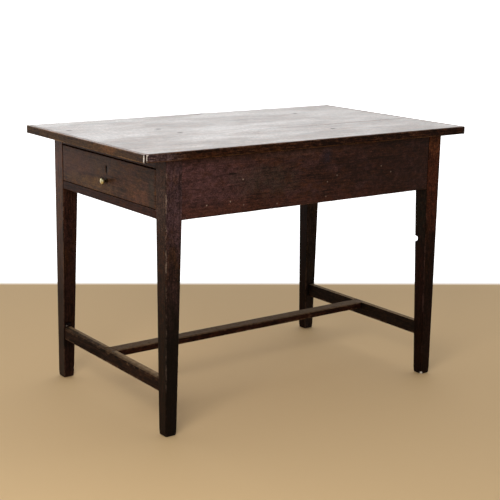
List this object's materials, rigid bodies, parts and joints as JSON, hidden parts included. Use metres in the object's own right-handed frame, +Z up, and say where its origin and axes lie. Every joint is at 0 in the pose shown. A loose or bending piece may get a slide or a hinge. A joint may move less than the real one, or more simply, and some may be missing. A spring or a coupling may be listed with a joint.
{
  "type": "farmhouse table",
  "caption": "Rectangular farmhouse table with a plank top, tapered square legs, an H stretcher and a locking drawer in one end.",
  "frame": {"origin": "on the floor, under the middle of the top", "axes": "+X along the table, away from the end with the drawer; +Y across it, away from the long side that the picture shows; +Z up"},
  "size_m": [1.112, 0.643, 0.76],
  "materials": {
    "top_wood": "dark stained planks with a worn wax sheen",
    "frame_wood": "dark red-brown stain, worn satin",
    "drawer_front_wood": "dark red-brown stain, worn satin",
    "inner_wood": "bare aged softwood",
    "brass": "polished by use",
    "iron": "dull dark iron"
  },
  "bodies": {
    "table": {"top_board_front": "top_wood", "top_board_back": "top_wood", "end_strip_left": "top_wood", "end_strip_right": "top_wood", "leg_front_left": "frame_wood", "leg_front_right": "frame_wood", "leg_back_left": "frame_wood", "leg_back_right": "frame_wood", "apron_front": "frame_wood", "apron_back": "frame_wood", "apron_right": "frame_wood", "drawer_rail_upper": "frame_wood", "drawer_rail_lower": "frame_wood", "stretcher_left": "frame_wood", "stretcher_right": "frame_wood", "stretcher_middle": "frame_wood", "drawer_runner_front": "inner_wood", "drawer_runner_back": "inner_wood", "drawer_guide_front": "inner_wood", "drawer_guide_back": "inner_wood", "drawer_kicker_front": "inner_wood", "drawer_kicker_back": "inner_wood", "drawer_stop_front": "inner_wood", "drawer_stop_back": "inner_wood", "kicker_screw_front_1": "iron", "kicker_screw_front_2": "iron", "kicker_screw_back_1": "iron", "kicker_screw_back_2": "iron", "upper_rail_screw_front": "iron", "upper_rail_screw_back": "iron", "pocket_screw_front_1": "iron", "pocket_screw_front_2": "iron", "pocket_screw_back_1": "iron", "pocket_screw_back_2": "iron", "pocket_screw_right_front": "iron", "pocket_screw_right_back": "iron"},
    "drawer": {"drawer_front": "drawer_front_wood", "drawer_side_front": "inner_wood", "drawer_side_back": "inner_wood", "drawer_back": "inner_wood", "drawer_bottom": "inner_wood", "drawer_knob": "brass", "knob_nut": "brass", "lock_case": "iron", "lock_cover": "iron", "lock_screw_lower_front": "iron", "lock_screw_lower_back": "iron", "lock_screw_upper_front": "iron", "lock_screw_upper_back": "iron", "drawer_nail_1": "iron", "drawer_nail_2": "iron", "drawer_nail_3": "iron"},
    "lock_bolt": {"lock_bolt": "iron", "lock_spring": "iron"}
  },
  "joints": [
    {"name": "drawer_slide", "type": "slide", "parent": "table", "child": "drawer", "axis": [-1, 0, 0], "range_m": [0, 0.44]},
    {"name": "lock_bolt_slide", "type": "slide", "parent": "drawer", "child": "lock_bolt", "axis": [0, 0, 1], "range_m": [0, 0.008]}
  ]
}
